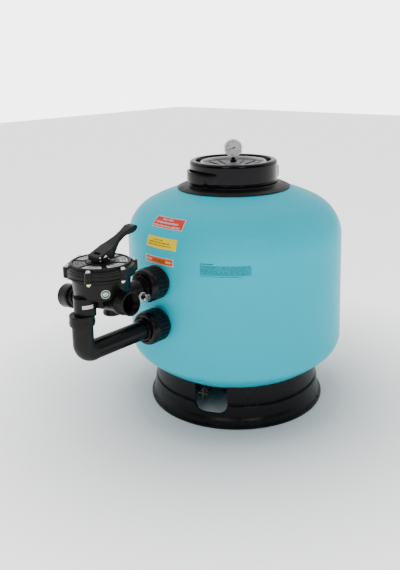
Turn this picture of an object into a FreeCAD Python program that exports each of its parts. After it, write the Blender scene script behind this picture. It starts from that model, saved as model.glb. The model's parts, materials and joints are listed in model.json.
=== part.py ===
"""Side-mount sand filter tank with a multiport valve, as a FreeCAD document.

Millimetres, +Z up. The origin is on the tank's axis at the floor, and the two side
ports point along -X, so the valve stands beside the tank on that side.
"""
import FreeCAD, Part
import math
import os
import re
from FreeCAD import Placement, Rotation, Vector
import Sketcher

# Driving dimensions. Every alias has an underscore, which is how linked() finds it.
DIMS = {
    # tank shell: cylinder between two torispherical ends
    "tank_radius": 300, "shell_wall": 7, "side_low": 194, "side_high": 475,
    "top_knuckle": 111, "top_crown": 540, "low_knuckle": 60, "low_crown": 425,
    "neck_hole": 138, "port_hole": 27.3, "drain_hole": 10.3, "fit_gap": 0.4, "decal_skin": 0.35,
    # base ring
    "foot_radius": 249, "foot_inner": 228, "foot_top": 7, "wall_low": 237, "wall_high": 230.5,
    "ring_top": 111.5, "ring_wall": 5, "step_low": 58, "step_high": 64,
    "window_wide": 89, "window_low": 37, "window_round": 24, "window_angle": 203,
    "gusset_count": 20, "gusset_angle": 220, "gusset_high": 10, "gusset_thick": 4,
    # neck, lid and lock ring
    "skirt_radius": 158, "skirt_low": 606.6, "skirt_high": 622, "neck_radius": 111.6,
    "neck_bore": 95, "neck_low": 600, "neck_top": 660.5, "seal_radius": 104, "seal_thick": 2.7,
    "ring_low": 622.6, "ring_high": 684, "ring_radius": 122.5, "ring_bore": 112,
    "ring_mouth": 103, "ring_lip": 672, "lid_radius": 110.5, "lid_low": 663.9,
    "lid_flange": 671.6, "lid_crest": 680.5, "crest_radius": 88.5, "dish_low": 664,
    "boss_radius": 20.5, "boss_low": 658, "boss_top": 676,
    "lug_radius": 81.4, "lug_away": 57.6, "lug_bar": 7.5, "lug_low": 631, "lug_high": 660,
    "lug_angle": 165,
    # pressure gauge
    "gauge_high": 716, "gauge_radius": 26, "gauge_ahead": 4, "gauge_angle": 221.5, "stem_radius": 6.5,
    "dial_radius": 22.4, "needle_long": 17,
    # side ports
    "port_low": 293, "port_high": 406, "gasket_radius": 35.6, "nut_radius": 43.5,
    "nut_start": 303, "nut_end": 360,
    "thread_radius": 31.6, "pipe_radius": 24.15, "pipe_wall": 3, "tail_radius": 28.4,
    "tail_start": 337, "tail_end": 366, "lip_start": 348, "rib_count": 24,
    # multiport valve
    "valve_away": 486, "bowl_radius": 70, "bowl_lean": 4, "bowl_low": 425, "flange_radius": 82,
    "flange_low": 470.5, "joint_level": 477, "cover_top": 497, "rim_top": 503, "rim_radius": 71.8,
    "bolt_circle": 78, "bolt_count": 6, "bolt_radius": 3, "lug_round": 9.5, "head_high": 4.5,
    "hub_radius": 34, "hub_low": 398, "arm_radius": 21, "arm_high": 406, "arm_tilt": 7.5,
    "mouth_bore": 24.4, "front_radius": 27, "front_reach": 104, "back_radius": 29.5,
    "back_reach": 140, "mouth_long": 30, "glass_away": 380, "glass_high": 390.5,
    "socket_away": 538, "socket_radius": 26, "collar_away": 548, "collar_low": 364,
    "collar_high": 389, "collar_radius": 29.5, "stub_away": 457, "stub_radius": 22.5,
    "stub_low": 365, "stub_bore": 18.8, "stub_deep": 28, "way_radius": 17, "small_way": 11.5,
    "shaft_radius": 9, "pin_high": 517, "pin_radius": 3, "pin_long": 43,
    # drain
    "drain_high": 83, "drain_angle": 197, "spigot_radius": 10, "cap_radius": 12.5,
    "cap_start": 212, "cap_end": 220, "wing_end": 227,
}

doc = FreeCAD.newDocument("SandFilter")
sheet = doc.addObject("Spreadsheet::Sheet", "Dims")
for row, (alias, number) in enumerate(DIMS.items(), 1):
    sheet.set(f"A{row}", alias)
    sheet.set(f"B{row}", str(number))
    sheet.setAlias(f"B{row}", alias)
doc.recompute()

X_AXIS, Y_AXIS, Z_AXIS = Vector(1, 0, 0), Vector(0, 1, 0), Vector(0, 0, 1)
UPRIGHT = Rotation()
TO_MINUS_X = Rotation(Y_AXIS, -90)
TO_PLUS_Y = Rotation(X_AXIS, -90)
TO_MINUS_Y = Rotation(X_AXIS, 90)
nodes = []


def value(formula):
    """A formula over the sheet's aliases, as a plain number."""
    return float(sheet.evalExpression(str(formula)))


def linked(formula):
    """The same formula written for another object's expression."""
    return re.sub(r"\b([a-z]+(?:_[a-z]+)+)\b", r"Dims.\1", str(formula))


def bind(item, **sizes):
    for name, formula in sizes.items():
        item.setExpression(name, linked(formula))
    return item


def place(item, where=("0", "0", "0"), turn=UPRIGHT):
    """Put an object at three formulas, turned."""
    item.Placement = Placement(Vector(*[value(formula) for formula in where]), turn)
    for axis, formula in zip("xyz", where):
        item.setExpression(f"Placement.Base.{axis}", linked(formula))
    return item


def around(angle, radius, height):
    """Formulas of the point at an angle and radius from the tank's axis."""
    return (f"({radius}) * cos({angle})", f"({radius}) * sin({angle})", str(height))


def keep(item, label):
    """Mark an object as a finished sub-part."""
    item.Label = label
    nodes.append(item)
    return item


def cylinder(radius, height, where=("0", "0", "0"), turn=UPRIGHT, angle=360):
    item = doc.addObject("Part::Cylinder", "Cylinder")
    bind(item, Radius=radius, Height=height, Angle=angle)
    return place(item, where, turn)


def box(length, width, height, where=("0", "0", "0"), turn=UPRIGHT):
    item = doc.addObject("Part::Box", "Box")
    bind(item, Length=length, Width=width, Height=height)
    return place(item, where, turn)


def fuse(items):
    item = doc.addObject("Part::MultiFuse", "Fuse")
    item.Shapes = items
    return item


def cut(base, tools):
    item = doc.addObject("Part::Cut", "Cut")
    item.Base = base
    item.Tool = tools[0] if len(tools) == 1 else fuse(tools)
    return item


def common(first, second):
    item = doc.addObject("Part::Common", "Common")
    item.Base = first
    item.Tool = second
    return item


def group(items):
    item = doc.addObject("Part::Compound", "Group")
    item.Links = items
    return item


def tube(outer, inner, height, where=("0", "0", "0"), turn=UPRIGHT):
    return cut(cylinder(outer, height, where, turn), [cylinder(inner, height, where, turn)])


def origin_plane(body, role):
    return next(item for item in body.Origin.OriginFeatures if item.Role == role)


def pin_point(sketch, geometry, point, corner):
    """Hold a sketch point at two formulas; a zero puts it on the sketch's axis."""
    for kind, formula, axis in (("DistanceX", corner[0], -2), ("DistanceY", corner[1], -1)):
        number = value(formula)
        if abs(number) < 1e-9:
            sketch.addConstraint(Sketcher.Constraint("PointOnObject", geometry, point, axis))
            continue
        index = sketch.addConstraint(Sketcher.Constraint(kind, geometry, point, number))
        sketch.setExpression(f"Constraints[{index}]", linked(formula))


def size_arc(sketch, geometry, formula):
    index = sketch.addConstraint(Sketcher.Constraint("Radius", geometry, value(formula)))
    sketch.setExpression(f"Constraints[{index}]", linked(formula))


def new_sketch(body, plane):
    sketch = body.newObject("Sketcher::SketchObject", body.Name + "Outline")
    sketch.AttachmentSupport = [(origin_plane(body, plane), "")]
    sketch.MapMode = "FlatFace"
    return sketch


def outline(body, corners, plane="XZ_Plane"):
    """Closed sketch through corners (x, y) or (x, y, fillet), each entry a formula."""
    sketch = new_sketch(body, plane)
    count = len(corners)
    points = [Vector(value(corner[0]), value(corner[1]), 0) for corner in corners]
    rounds = [value(corner[2]) if len(corner) > 2 else 0 for corner in corners]
    ahead = [(points[(i + 1) % count] - points[i]).normalize() for i in range(count)]
    trims = []
    for i in range(count):
        corner_angle = ahead[i].getAngle(-ahead[i - 1])
        trims.append(rounds[i] / math.tan(corner_angle / 2) if rounds[i] else 0)
    for i in range(count):
        start = points[i] + ahead[i] * trims[i]
        end = points[(i + 1) % count] - ahead[i] * trims[(i + 1) % count]
        sketch.addGeometry(Part.LineSegment(start, end), False)
    for i in range(count):
        before = (i - 1) % count
        if not rounds[i]:
            sketch.addConstraint(Sketcher.Constraint("Coincident", before, 2, i, 1))
            pin_point(sketch, i, 1, corners[i])
            continue
        left_turn = ahead[before].cross(ahead[i]).z > 0
        inward = (ahead[i] - ahead[before]).normalize()
        centre = points[i] + inward * math.hypot(rounds[i], trims[i])
        circle = Part.Circle(centre, Z_AXIS, rounds[i])
        first = circle.parameter(points[i] - ahead[before] * trims[i])
        last = circle.parameter(points[i] + ahead[i] * trims[i])
        ends = (first, last) if left_turn else (last, first)
        arc = sketch.addGeometry(Part.ArcOfCircle(circle, *ends), False)
        entry, leave = (1, 2) if left_turn else (2, 1)
        sketch.addConstraint(Sketcher.Constraint("Tangent", before, 2, arc, entry))
        sketch.addConstraint(Sketcher.Constraint("Tangent", arc, leave, i, 1))
        size_arc(sketch, arc, corners[i][2])
        corner_point = sketch.addGeometry(Part.Point(points[i]), True)
        sketch.addConstraint(Sketcher.Constraint("PointOnObject", corner_point, 1, before))
        sketch.addConstraint(Sketcher.Constraint("PointOnObject", corner_point, 1, i))
        pin_point(sketch, corner_point, 1, corners[i])
    return sketch


def spin(body, sketch):
    turn = body.newObject("PartDesign::Revolution", body.Name + "Turn")
    turn.Profile = sketch
    turn.ReferenceAxis = (sketch, ["V_Axis"])
    turn.Angle = 360
    return body


def turned(name, corners, where=("0", "0", "0"), turn=UPRIGHT):
    """Body made by turning an outline of (radius, height) corners about its own Z."""
    body = doc.addObject("PartDesign::Body", name)
    spin(body, outline(body, corners))
    return place(body, where, turn)


def padded(name, corners, thick, plane, where=("0", "0", "0"), turn=UPRIGHT, middle=True):
    """Body made by padding an outline, to both sides of its plane if middle."""
    body = doc.addObject("PartDesign::Body", name)
    sketch = outline(body, corners, plane)
    pad = body.newObject("PartDesign::Pad", name + "Pad")
    pad.Profile = sketch
    pad.Midplane = middle
    pad.setExpression("Length", linked(thick))
    return place(body, where, turn)


# --- tank ---------------------------------------------------------------------------

def shell_skin(sketch, inset):
    """Side line, two knuckle arcs and two crown arcs, set in from the outer surface.

    Returns the top crown and the bottom crown.
    """
    radius = value(f"tank_radius - {inset}")
    low, high = value("side_low"), value("side_high")
    side = sketch.addGeometry(Part.LineSegment(Vector(radius, low, 0), Vector(radius, high, 0)), False)
    sketch.addConstraint(Sketcher.Constraint("Vertical", side))
    pin_point(sketch, side, 1, (f"tank_radius - {inset}", "side_low"))
    top = sketch.addConstraint(Sketcher.Constraint("DistanceY", side, 2, high))
    sketch.setExpression(f"Constraints[{top}]", "Dims.side_high")
    crowns = []
    for sign, level, knuckle_name, crown_name in ((1, high, "top_knuckle", "top_crown"),
                                                  (-1, low, "low_knuckle", "low_crown")):
        knuckle = value(f"{knuckle_name} - {inset}")
        crown = value(f"{crown_name} - {inset}")
        across = radius - knuckle
        drop = math.sqrt((crown - knuckle) ** 2 - across ** 2)
        lean = math.atan2(drop, across)
        bend = Part.Circle(Vector(across, level, 0), Z_AXIS, knuckle)
        dome = Part.Circle(Vector(0, level - sign * drop, 0), Z_AXIS, crown)
        stop = math.acos(value("neck_hole") / crown) if sign > 0 else math.pi / 2
        spans = ((0, lean), (lean, stop))
        if sign < 0:
            spans = [(-last, -first) for first, last in spans]
        near, far = (1, 2) if sign > 0 else (2, 1)
        arc = sketch.addGeometry(Part.ArcOfCircle(bend, *spans[0]), False)
        cap = sketch.addGeometry(Part.ArcOfCircle(dome, *spans[1]), False)
        sketch.addConstraint(Sketcher.Constraint("Tangent", side, 2 if sign > 0 else 1, arc, near))
        sketch.addConstraint(Sketcher.Constraint("Tangent", arc, far, cap, near))
        size_arc(sketch, arc, f"{knuckle_name} - {inset}")
        size_arc(sketch, cap, f"{crown_name} - {inset}")
        sketch.addConstraint(Sketcher.Constraint("PointOnObject", cap, 3, -2))
        if sign > 0:
            mouth = Sketcher.Constraint("DistanceX", cap, 2, value("neck_hole"))
            sketch.setExpression(f"Constraints[{sketch.addConstraint(mouth)}]", "Dims.neck_hole")
        else:
            sketch.addConstraint(Sketcher.Constraint("PointOnObject", cap, 1, -2))
        crowns.append(cap)
    return crowns


def close_skins(sketch, first, second, point):
    """Line from one skin's arc end to the other's."""
    ends = [sketch.getPoint(first, point), sketch.getPoint(second, point)]
    line = sketch.addGeometry(Part.LineSegment(*ends), False)
    sketch.addConstraint(Sketcher.Constraint("Coincident", line, 1, first, point))
    sketch.addConstraint(Sketcher.Constraint("Coincident", line, 2, second, point))


def tank_shell():
    body = doc.addObject("PartDesign::Body", "ShellBlank")
    sketch = new_sketch(body, "XZ_Plane")
    outer_top, outer_low = shell_skin(sketch, "0")
    inner_top, inner_low = shell_skin(sketch, "shell_wall")
    close_skins(sketch, outer_top, inner_top, 2)
    close_skins(sketch, outer_low, inner_low, 1)
    spin(body, sketch)
    holes = [cylinder("port_hole", "tank_radius / 2 + 20", ("-tank_radius / 2", "0", level), TO_MINUS_X)
             for level in ("port_low", "port_high")]
    drain_turn = Rotation(Z_AXIS, value("drain_angle")) * Rotation(Y_AXIS, 90)
    holes.append(cylinder("drain_hole", "120", around("drain_angle", "120", "drain_high"), drain_turn))
    keep(cut(body, holes), "tank_shell")


def side_decal(label, low, high, angle, span):
    """Thin sheet wrapped on the tank's straight side."""
    turn = Rotation(Z_AXIS, value(f"({angle}) - ({span}) / 2"))
    rise = f"({high}) - ({low})"
    where = ("0", "0", low)
    skin = cylinder("tank_radius + 0.05 + decal_skin", rise, where, turn, span)
    keep(cut(skin, [cylinder("tank_radius + 0.05", rise, where)]), label)


def shoulder_decal(label, low, high, angle, span):
    """Thin sheet wrapped on the top knuckle between two slopes, in degrees."""
    knuckle = value("top_knuckle") + 0.05
    skin = value("decal_skin")
    centre = Vector(value("tank_radius - top_knuckle"), 0, value("side_high"))

    def at(radius, slope):
        return centre + Vector(math.cos(slope), 0, math.sin(slope)) * radius

    slopes = [math.radians(low), math.radians((low + high) / 2), math.radians(high)]
    inner = Part.Arc(*[at(knuckle, slope) for slope in slopes]).toShape()
    outer = Part.Arc(*[at(knuckle + skin, slope) for slope in slopes]).toShape()
    sides = [Part.makeLine(at(knuckle, slope), at(knuckle + skin, slope)) for slope in (slopes[0], slopes[2])]
    face = Part.Face(Part.Wire(Part.__sortEdges__([inner, sides[1], outer, sides[0]])))
    item = doc.addObject("Part::Feature", "Decal")
    item.Shape = face.revolve(Vector(0, 0, 0), Z_AXIS, span)
    item.Placement = Placement(Vector(0, 0, 0), Rotation(Z_AXIS, angle - span / 2))
    keep(item, label)


# --- base ring ----------------------------------------------------------------------

def base_window():
    """Rounded U of the drain opening, long enough to pass right through the wall."""
    half = "window_wide / 2"
    return padded("Window", [
        (f"-{half}", "window_low", "window_round"), (half, "window_low", "window_round"),
        (half, "ring_top + 20"), (f"-{half}", "ring_top + 20")],
        "60", "YZ_Plane", around("window_angle", "wall_low", "0"), Rotation(Z_AXIS, value("window_angle")))


def base_ring():
    wall = turned("RingWall", [
        ("foot_inner", "0"), ("foot_radius", "0"), ("foot_radius", "foot_top", "2"),
        ("wall_low + 6", "foot_top", "2"), ("wall_low + 5", "21", "3"), ("wall_low", "27", "4"),
        ("wall_low - 1.6", "step_low - 1.5"), ("wall_low - 3.5", "step_low"), ("wall_high - 1.5", "step_low"),
        ("wall_high - 1.5", "step_high"), ("wall_high + 1.5", "step_high"),
        ("wall_high + 2.3", "step_high + 1.5"),
        ("wall_high", "ring_top"), ("wall_high - ring_wall", "ring_top - 3.9"),
        ("wall_high - ring_wall - 2", "step_high"), ("wall_low - ring_wall - 4", "step_low - 2"),
        ("wall_low - ring_wall", "27", "4"), ("wall_low - ring_wall", "5"), ("foot_inner", "5")])
    gussets = []
    for i in range(int(value("gusset_count"))):
        turn = Rotation(Z_AXIS, value("gusset_angle") + i * 360 / value("gusset_count"))
        gussets.append(padded(f"Gusset{i}", [
            ("wall_low", "foot_top - 1"), ("foot_radius - 3", "foot_top - 1"),
            ("wall_low + 4", "foot_top + gusset_high"), ("wall_low", "foot_top + gusset_high")],
            "gusset_thick", "XZ_Plane", turn=turn))
    keep(cut(fuse([wall] + gussets), [base_window()]), "base_ring")


# --- neck, lid and lock ring ---------------------------------------------------------

def neck_flange():
    keep(turned("neck_flange", [
        ("neck_bore", "neck_low"), ("neck_hole - 0.5", "neck_low"), ("neck_hole - 0.5", "skirt_low + 6.2"),
        ("skirt_radius", "skirt_low + 0.3"), ("skirt_radius", "skirt_low + 3", "1"),
        ("ring_radius + 2", "skirt_high", "2"), ("neck_radius", "skirt_high"), ("neck_radius", "neck_top", "1"),
        ("seal_radius + seal_thick + 0.2", "neck_top"), ("seal_radius + seal_thick + 0.2", "neck_top - 2.2"),
        ("seal_radius - seal_thick - 0.2", "neck_top - 2.2"), ("seal_radius - seal_thick - 0.2", "neck_top"),
        ("neck_bore", "neck_top")]), "neck_flange")
    seal = doc.addObject("Part::Torus", "Seal")
    bind(seal, Radius1="seal_radius", Radius2="seal_thick")
    keep(place(seal, ("0", "0", "neck_top - 2.1 + seal_thick")), "lid_seal")


def lid():
    keep(turned("lid_window", [
        ("boss_radius - 6", "dish_low - 6"), ("boss_radius", "dish_low - 6", "4"), ("80", "dish_low + 6", "8"),
        ("crest_radius", "lid_low", "3"), ("lid_radius", "lid_low"), ("lid_radius", "lid_flange", "1"),
        ("ring_mouth - 1", "lid_flange", "2"), ("crest_radius + 4.5", "lid_crest", "2"),
        ("crest_radius - 2", "lid_crest", "1.5"), ("crest_radius - 8", "lid_crest - 5", "6"),
        ("boss_radius + 4", "dish_low", "6"), ("boss_radius - 6", "dish_low")]), "lid_window")


def lug(angle):
    """Crescent grip bar that leaves the lock ring and meets it again, with a gap behind."""
    rise = "lug_high - lug_low"
    middle = around(angle, "lug_away", "lug_low")
    return cut(cylinder("lug_radius", rise, middle),
               [cylinder("lug_radius - lug_bar", rise, middle),
                cylinder("ring_radius - 1.5", "60", ("0", "0", "lug_low - 10"))])


def lock_ring():
    ring = turned("RingBlank", [
        ("ring_bore", "ring_low"), ("ring_radius", "ring_low", "1.5"), ("ring_radius", "ring_high", "8"),
        ("ring_mouth", "ring_high", "2"), ("ring_mouth", "ring_lip", "1"), ("ring_bore", "ring_lip")])
    keep(fuse([ring, lug("lug_angle"), lug("lug_angle + 180")]), "lock_ring")


# --- pressure gauge -------------------------------------------------------------------

def gauge():
    facing = Rotation(Z_AXIS, value("gauge_angle")) * Rotation(Y_AXIS, 90)
    where = around("gauge_angle", "gauge_ahead", "gauge_high")
    keep(turned("lid_boss", [
        ("0", "boss_low"), ("boss_radius - 6.3", "boss_low"), ("boss_radius - 6.3", "dish_low + 0.3"),
        ("boss_radius", "dish_low + 0.3"), ("boss_radius", "dish_low + 5", "3"), ("10", "boss_top", "3"),
        ("0", "boss_top")]), "lid_boss")
    keep(turned("gauge_stem", [
        ("0", "boss_top + 0.1"), ("stem_radius + 3", "boss_top + 0.1"),
        ("stem_radius + 3", "boss_top + 7", "1"), ("stem_radius", "boss_top + 8.5"),
        ("stem_radius", "gauge_high - gauge_radius + 1.4"), ("0", "gauge_high - gauge_radius + 1.4")]),
        "gauge_stem")
    keep(turned("gauge_case", [
        ("0", "-13"), ("gauge_radius - 1.5", "-13", "4"), ("gauge_radius - 1.5", "4"),
        ("0", "4")], where, facing), "gauge_case")
    keep(turned("gauge_bezel", [
        ("gauge_radius - 1.4", "3"), ("gauge_radius", "3", "0.5"), ("gauge_radius", "11", "1.5"),
        ("dial_radius - 0.8", "11", "0.6"), ("dial_radius - 0.8", "9.8"), ("dial_radius + 0.1", "9.8"),
        ("dial_radius + 0.1", "4.1"), ("gauge_radius - 1.4", "4.1")], where, facing), "gauge_bezel")
    keep(turned("gauge_dial", [
        ("0", "4.1"), ("dial_radius", "4.1"), ("dial_radius", "5"), ("0", "5")], where, facing), "gauge_dial")
    keep(turned("gauge_window", [
        ("0", "8.4"), ("dial_radius", "8.4"), ("dial_radius", "9.7"), ("0", "9.7")], where, facing),
        "gauge_window")
    # the needle lies on the dial with its point down to the left, at the scale's zero
    to_zero = facing * Rotation(Z_AXIS, -160)
    keep(padded("gauge_needle", [
        ("-0.5", "needle_long"), ("0.5", "needle_long"), ("1", "2"), ("2.4", "0", "1"),
        ("1.4", "-needle_long / 2.4"), ("-1.4", "-needle_long / 2.4"), ("-2.4", "0", "1"), ("-1", "2")],
        "1.2", "XY_Plane", around("gauge_angle", "gauge_ahead + 6.6", "gauge_high"), to_zero),
        "gauge_needle")


# --- side ports, unions and the lower pipe ----------------------------------------------

def scallops(radius, start, length, level):
    """Finger grooves round a nut whose axis points along -X."""
    tools = []
    for i in range(int(value("rib_count"))):
        angle = math.radians(i * 360 / value("rib_count"))
        where = (f"-({start})", f"({radius}) * {math.sin(angle):.6f}",
                 f"({level}) + ({radius}) * {math.cos(angle):.6f}")
        tools.append(cylinder("2.6", length, where, TO_MINUS_X))
    return tools


def port(side, level):
    """Bulkhead fitting, gasket, union nut and tail of one port."""
    here = ("0", "0", level)
    keep(turned(f"bulkhead_{side}", [
        ("20", "270"), ("port_hole - 0.3", "270"), ("port_hole - 0.3", "281"), ("38", "281", "1"),
        ("38", "287"), ("port_hole - 0.3", "287"), ("port_hole - 0.3", "nut_start"),
        ("thread_radius", "nut_start"), ("thread_radius", "tail_start - 1.2", "1"),
        ("20", "tail_start - 1.2")], here, TO_MINUS_X), f"bulkhead_{side}")
    washer = tube("gasket_radius", "port_hole - 0.2", "11", ("-291", "0", level), TO_MINUS_X)
    keep(cut(washer, [cylinder("tank_radius + 0.1", "100", ("0", "0", f"({level}) - 50"))]),
         f"port_gasket_{side}")
    nut = turned(f"NutBlank{side}", [
        ("thread_radius + fit_gap", "nut_start"), ("nut_radius - 7", "nut_start", "1.5"),
        ("nut_radius", "nut_start + 9", "9"), ("nut_radius", "nut_end - 14", "12"),
        ("nut_radius - 6", "nut_end", "3"), ("tail_radius + 4", "nut_end", "1.5"),
        ("tail_radius + 4", "nut_end - 6"), ("tail_radius + fit_gap", "nut_end - 6"),
        ("tail_radius + fit_gap", "lip_start"), ("thread_radius + fit_gap", "lip_start")], here, TO_MINUS_X)
    keep(cut(nut, scallops("nut_radius + 1.4", "nut_start + 4", "33", level)), f"union_nut_{side}")
    keep(turned(f"union_tail_{side}", [
        ("pipe_radius + 0.1", "tail_start"), ("thread_radius", "tail_start"),
        ("thread_radius", "lip_start - 0.5"), ("tail_radius", "lip_start - 0.5"),
        ("tail_radius", "tail_end", "1.5"), ("pipe_radius + 0.1", "tail_end")], here, TO_MINUS_X),
        f"union_tail_{side}")
    seal = doc.addObject("Part::Torus", "PortSeal")
    bind(seal, Radius1="thread_radius - 5", Radius2="0.55")
    keep(place(seal, ("-(tail_start - 0.6)", "0", level), TO_MINUS_X), f"union_seal_{side}")


def bent_pipe(outer, bend, from_x, corner_x, level, end_level):
    """Solid run along X, a quarter turn, and an upright run, all of one radius."""
    rise = 1 if value(end_level) > value(level) else -1
    reach = 1 if value(corner_x) > value(from_x) else -1
    first = cylinder(outer, f"abs(({corner_x}) - ({from_x})) - {bend}", (from_x, "0", level),
                     Rotation(Y_AXIS, 90 * reach))
    turn = doc.addObject("Part::Torus", "Bend")
    bind(turn, Radius1=bend, Radius2=outer)
    turn.Angle3 = 90
    lie = {(-1, 1): 180, (1, 1): 270, (1, -1): 0, (-1, -1): 90}[(reach, rise)]
    turning = Rotation(X_AXIS, 90) * Rotation(Z_AXIS, lie)
    place(turn, (f"({corner_x}) - {reach} * {bend}", "0", f"({level}) + {rise} * {bend}"), turning)
    start = f"({level}) + {rise} * {bend}"
    low = start if rise > 0 else end_level
    second = cylinder(outer, f"abs(({end_level}) - ({start}))", (corner_x, "0", low))
    return fuse([first, turn, second])


def lower_pipe():
    ends = ("26", "-(tail_start + 2)", "-collar_away", "port_low", "collar_high - 6")
    keep(cut(bent_pipe("pipe_radius", *ends), [bent_pipe("pipe_radius - pipe_wall", *ends)]), "lower_pipe")


def internals():
    keep(cut(bent_pipe("22", "40", "-269", "0", "port_high", "500"),
             [bent_pipe("19", "40", "-269", "0", "port_high", "500")]), "riser_pipe")
    keep(turned("diffuser", [
        ("0", "512"), ("19", "501"), ("22.3", "501"), ("46", "520", "4"), ("46", "545", "4"),
        ("0", "545")]), "diffuser")
    keep(cut(bent_pipe("22", "40", "-269", "0", "port_low", "150"),
             [bent_pipe("19", "40", "-269", "0", "port_low", "150")]), "collector_pipe")
    keep(turned("collector_hub", [
        ("0", "88"), ("34", "88", "4"), ("34", "136", "4"), ("27", "142"), ("27", "149.7"), ("0", "149.7")]),
        "collector_hub")
    arms = []
    for i in range(8):
        turn = Rotation(Z_AXIS, 22.5 + 45 * i)
        start = turn.multVec(X_AXIS) * 34.3
        arms.append(cylinder("8.5", "136", (str(start.x), str(start.y), "112"), turn * Rotation(Y_AXIS, 90)))
    keep(group(arms), "laterals")


# --- drain ---------------------------------------------------------------------------------

def drain():
    outward = Rotation(Z_AXIS, value("drain_angle")) * Rotation(Y_AXIS, 90)
    here = ("0", "0", "drain_high")
    keep(turned("drain_spigot", [
        ("5", "165"), ("spigot_radius", "165"), ("spigot_radius", "cap_start + 4"), ("5", "cap_start + 4")],
        here, outward), "drain_spigot")
    cup = turned("CapCup", [
        ("0", "cap_start + 4.4"), ("spigot_radius + fit_gap", "cap_start + 4.4"),
        ("spigot_radius + fit_gap", "cap_start"), ("cap_radius", "cap_start", "0.5"),
        ("cap_radius", "cap_end", "1.5"), ("0", "cap_end")], here, outward)
    wings = []
    heading = Rotation(Z_AXIS, value("drain_angle"))
    for wide, high in ((30, 6), (6, 30)):
        corner = heading.multVec(Vector(value("cap_end") - 0.6, -wide / 2, 0))
        wings.append(box("wing_end - cap_end + 0.6", str(wide), str(high),
                         (str(corner.x), str(corner.y), f"drain_high - {high / 2}"), heading))
    keep(fuse([cup] + wings), "drain_cap")


# --- multiport valve ---------------------------------------------------------------------------

VALVE = "-valve_away"


def on_circle(radius, angle, height):
    """Formulas of a point round the valve's axis, at an angle in degrees."""
    turn = math.radians(angle)
    return (f"-valve_away + ({radius}) * {math.cos(turn):.6f}", f"({radius}) * {math.sin(turn):.6f}", height)


def bolt_spots(height):
    count = int(value("bolt_count"))
    return [on_circle("bolt_circle", 30 + i * 360 / count, height) for i in range(count)]


# the two open arms share one straight axis, which leans down towards +Y
ARMS = (("front", -1, Rotation(X_AXIS, 90 - value("arm_tilt"))),
        ("back", 1, Rotation(X_AXIS, -90 - value("arm_tilt"))))


def along_arm(way, reach):
    """Formulas of the point at a distance along one of the two open arms."""
    return (VALVE, f"{way} * ({reach}) * cos(arm_tilt)", f"arm_high - {way} * ({reach}) * sin(arm_tilt)")


def valve_body():
    here = (VALVE, "0", "0")
    bowl = turned("Bowl", [
        ("0", "bowl_low"), ("bowl_radius - bowl_lean", "bowl_low", "4"), ("bowl_radius", "flange_low + 2"),
        ("flange_radius - 1", "flange_low + 2", "1"), ("flange_radius - 1", "joint_level", "1"),
        ("0", "joint_level")], here)
    solids = [bowl, cylinder("hub_radius", "bowl_low - hub_low + 4", (VALVE, "0", "hub_low"))]
    solids.append(cylinder("arm_radius", "front_reach + back_reach - 20", along_arm(-1, "front_reach - 10"),
                           ARMS[1][2]))
    for side, way, turn in ARMS:
        where = along_arm(way, f"{side}_reach - mouth_long")
        solids.append(cylinder(side + "_radius", "mouth_long", where, turn))
    solids.append(cylinder("arm_radius", "valve_away - tail_end - 4", (VALVE, "0", "port_high"),
                           Rotation(Y_AXIS, 90)))
    solids.append(cylinder("pipe_radius", "tail_end + 5 - tail_start - 2", ("-(tail_end + 5)", "0", "port_high"),
                           Rotation(Y_AXIS, 90)))
    solids.append(cylinder("8.5", "16", ("-glass_away", "-5", "glass_high"), TO_MINUS_Y))
    solids.append(cylinder("stub_radius", "bowl_low + 4 - stub_low", ("-stub_away", "0", "stub_low")))
    solids.append(cylinder("socket_radius", "bowl_low + 4 - collar_high + 4",
                           ("-socket_away", "0", "collar_high - 4")))
    solids.append(cylinder("collar_radius", "collar_high - collar_low", ("-collar_away", "0", "collar_low")))
    for spot in bolt_spots("flange_low + 2"):
        solids.append(cylinder("lug_round", "joint_level - flange_low - 2", spot))
    tools = [cylinder("bowl_radius - 8", "60", (VALVE, "0", "bowl_low + 10")),
             cylinder("way_radius", "60", (VALVE, "0", "port_high - 10")),
             cylinder("way_radius", "valve_away", (VALVE, "0", "port_high"), Rotation(Y_AXIS, 90)),
             cylinder("stub_bore", "stub_deep + 1", ("-stub_away", "0", "stub_low - 1")),
             cylinder("small_way", "30", ("-stub_away", "0", "stub_low + stub_deep - 5")),
             cylinder("pipe_radius + 0.1", "collar_high - collar_low - 4", ("-collar_away", "0", "collar_low - 1")),
             cylinder("small_way", "bowl_low + 14 - collar_high + 10", ("-socket_away", "0", "collar_high - 10"))]
    tools.append(cylinder("way_radius", "front_reach + back_reach + 10", along_arm(-1, "front_reach + 5"),
                          ARMS[1][2]))
    for side, way, turn in ARMS:
        where = along_arm(way, f"{side}_reach - mouth_long + 2")
        tools.append(cylinder("mouth_bore", "mouth_long", where, turn))
    for spot in bolt_spots("flange_low - 5"):
        tools.append(cylinder("bolt_radius + 0.3", "30", spot))
    keep(cut(fuse(solids), tools), "valve_body")


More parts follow.
